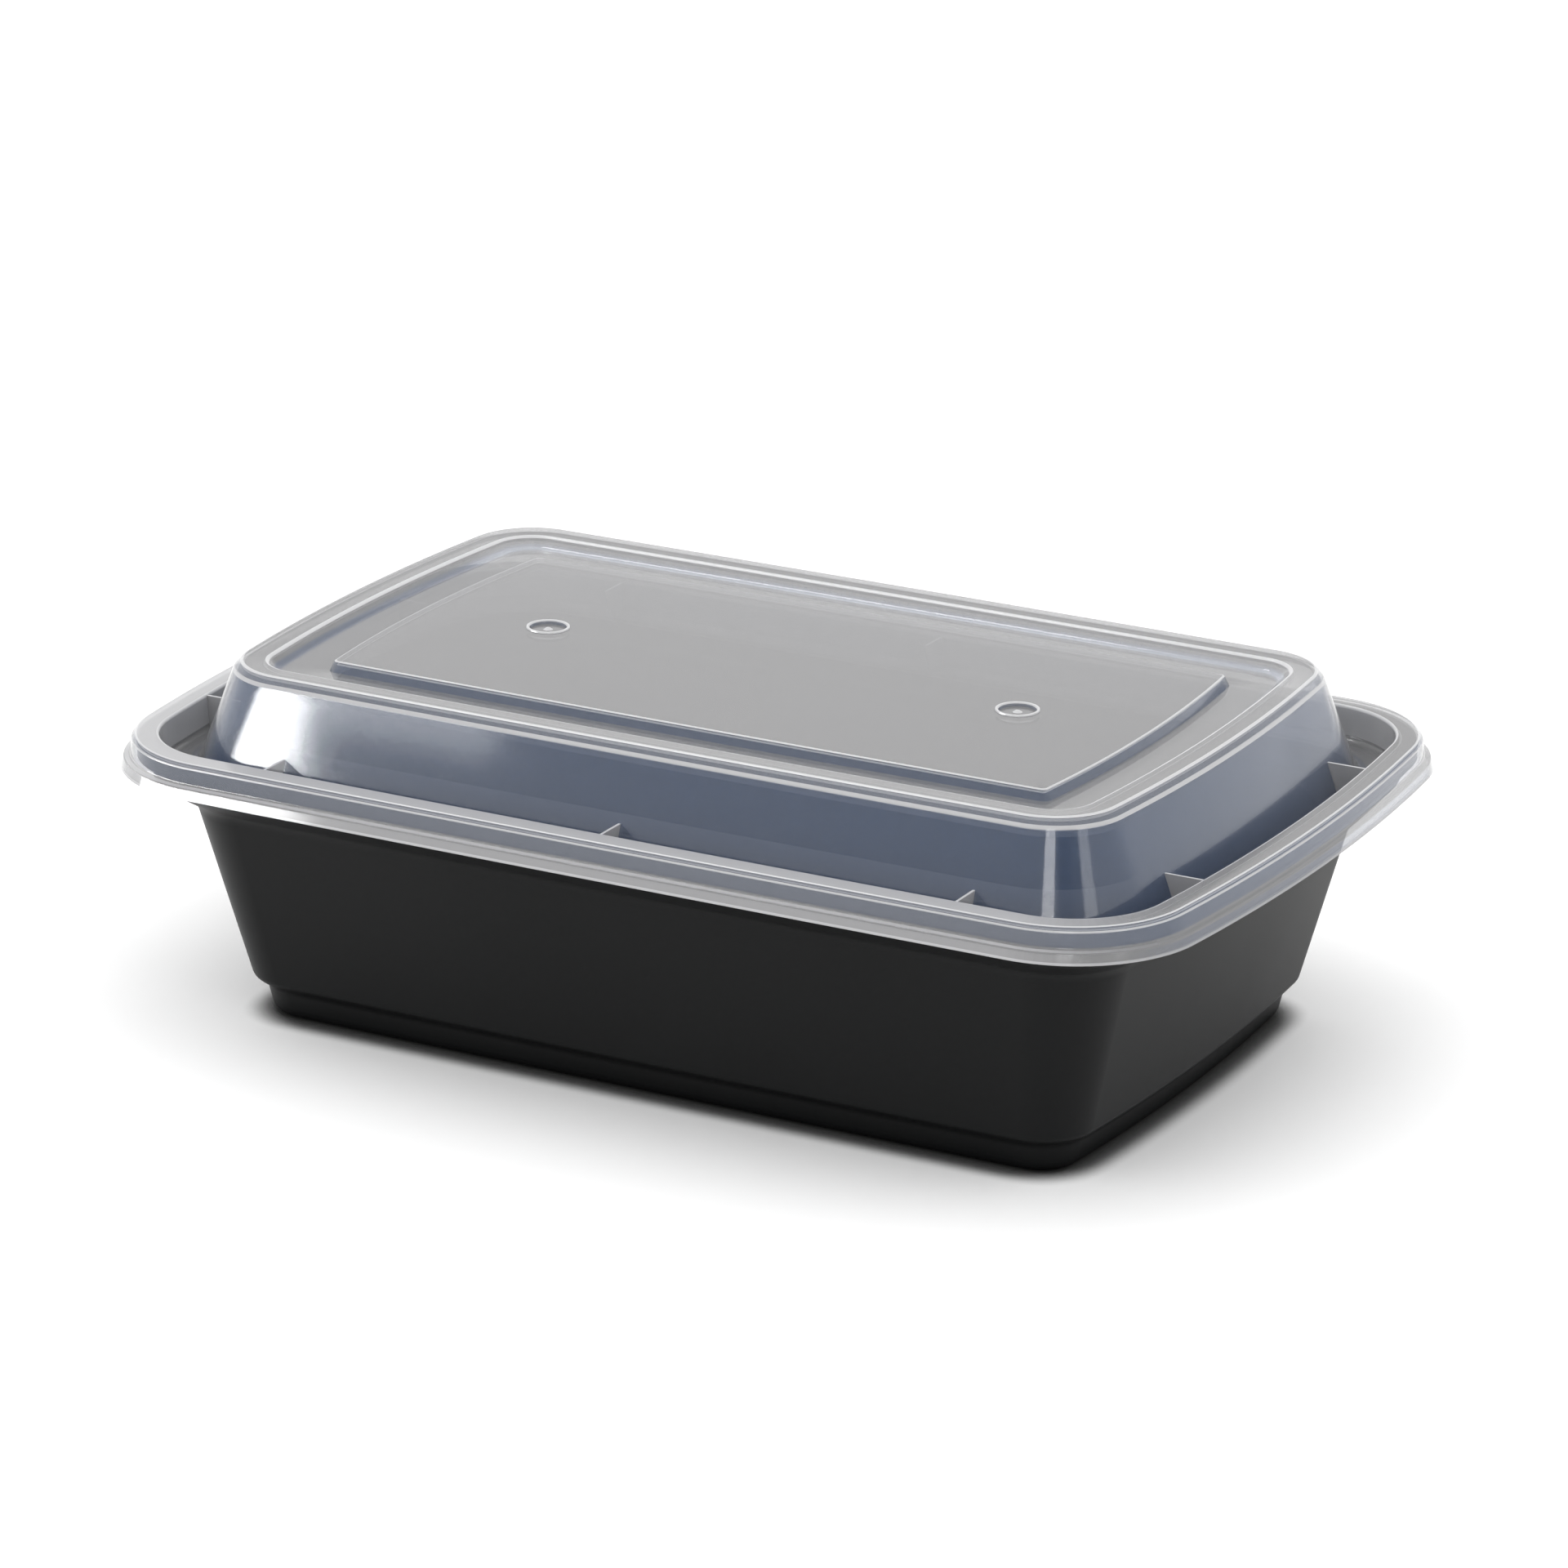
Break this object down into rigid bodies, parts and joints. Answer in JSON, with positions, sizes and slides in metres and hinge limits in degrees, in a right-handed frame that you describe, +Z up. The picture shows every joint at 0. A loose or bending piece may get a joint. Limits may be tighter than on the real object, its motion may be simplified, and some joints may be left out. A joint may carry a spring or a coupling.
{
  "type": "takeaway meal container",
  "caption": "Empty rectangular takeaway tray in black plastic with a see-through domed lid snapped over its rim.",
  "frame": {"origin": "middle of the tray's underside, on the surface that the container stands on", "axes": "+Z up, +X along the long side, +Y across it"},
  "size_m": [0.222, 0.1456, 0.0682],
  "materials": {
    "black_plastic": "satin black polypropylene, slightly sheened at grazing angles",
    "clear_plastic": "milky see-through polypropylene, smooth and glossy"
  },
  "bodies": {
    "root": {"tray": "black_plastic", "lid": "clear_plastic"}
  },
  "joints": []
}
